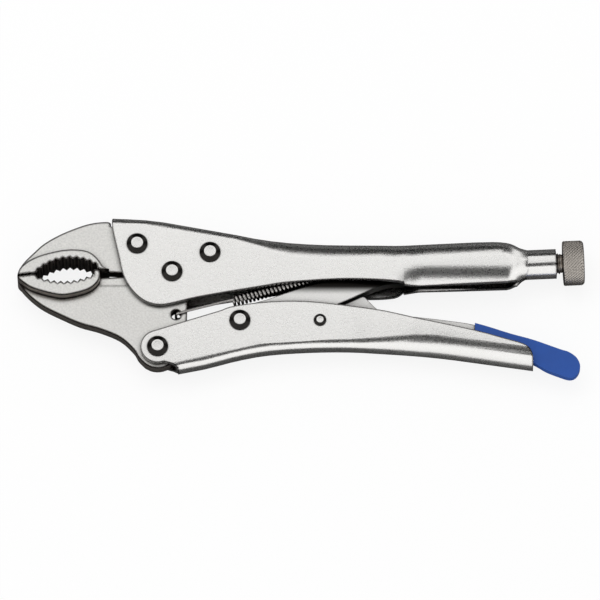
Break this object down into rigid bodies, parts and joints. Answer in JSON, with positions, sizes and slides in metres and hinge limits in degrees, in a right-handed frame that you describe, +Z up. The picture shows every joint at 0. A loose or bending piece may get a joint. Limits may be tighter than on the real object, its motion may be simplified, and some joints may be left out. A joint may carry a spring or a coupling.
{
  "type": "locking pliers",
  "caption": "Curved-jaw locking pliers in nickel-plated steel with an adjusting screw, a toggle link and a release lever with a blue sleeve, shown locked.",
  "frame": {"origin": "middle of the outline seen from above, on the surface that the pliers lie on", "axes": "+X runs from the jaws to the knob, +Y from the moving handle to the fixed handle, +Z up out of the side of the tool"},
  "size_m": [0.2495, 0.0743, 0.0198],
  "materials": {
    "plated_sheet": "satin nickel plate",
    "forged_steel": "satin nickel plate over a forging",
    "plated_link": "satin nickel plate",
    "rivet_steel": "semi-bright nickel plate",
    "screw_steel": "turned and knurled steel",
    "spring_steel": "drawn spring wire",
    "vinyl_sleeve": "dipped vinyl, matte"
  },
  "bodies": {
    "fixed_handle": {"fixed_handle": "plated_sheet", "fixed_jaw": "forged_steel", "front_jaw_rivet": "rivet_steel", "rear_jaw_rivet": "rivet_steel", "jaw_pivot_rivet": "rivet_steel", "tension_spring": "spring_steel"},
    "moving_jaw": {"moving_jaw": "forged_steel"},
    "moving_handle": {"moving_handle": "plated_sheet", "handle_pivot_rivet": "rivet_steel", "link_rivet": "rivet_steel", "lever_rivet": "rivet_steel", "lever_spacers": "rivet_steel"},
    "toggle_link": {"toggle_link": "plated_link"},
    "release_lever": {"release_lever": "plated_link", "lever_sleeve": "vinyl_sleeve"},
    "adjusting_screw": {"adjusting_screw": "screw_steel"},
    "adjusting_knob": {"adjusting_knob": "screw_steel"}
  },
  "joints": [
    {"name": "jaw_pivot", "type": "hinge", "parent": "fixed_handle", "child": "moving_jaw", "pos_m": [-0.05681, 0.0114, 0.0099], "axis": [0, 0, 1], "range_deg": [0, 16], "deforming": ["tension_spring"]},
    {"name": "handle_pivot", "type": "hinge", "parent": "moving_jaw", "child": "moving_handle", "pos_m": [-0.06301, -0.0236, 0.0099], "axis": [0, 0, 1], "range_deg": [-49.7, 0]},
    {"name": "link_pivot", "type": "hinge", "parent": "moving_handle", "child": "toggle_link", "pos_m": [-0.02691, -0.0114, 0.0099], "axis": [0, 0, 1], "range_deg": [0, 50.5]},
    {"name": "release_lever", "type": "hinge", "parent": "moving_handle", "child": "release_lever", "pos_m": [0.00829, -0.0114, 0.0099], "axis": [0, 0, 1], "range_deg": [0, 1.3]},
    {"name": "knob_turn", "type": "hinge", "parent": "adjusting_screw", "child": "adjusting_knob", "pos_m": [0.05449, 0.0143, 0.0099], "axis": [0.999, 0.0436, 0], "range_deg": [0, 5760]},
    {"name": "screw_travel", "type": "slide", "parent": "fixed_handle", "child": "adjusting_screw", "axis": [0.999, 0.0436, 0], "range_m": [0, 0.02]}
  ],
  "couplings": [
    {"joint": "handle_pivot", "follows": "jaw_pivot", "ratio": -3.1},
    {"joint": "link_pivot", "follows": "jaw_pivot", "ratio": 3.15},
    {"joint": "knob_turn", "follows": "screw_travel", "rad_per_m": 5026.5}
  ]
}
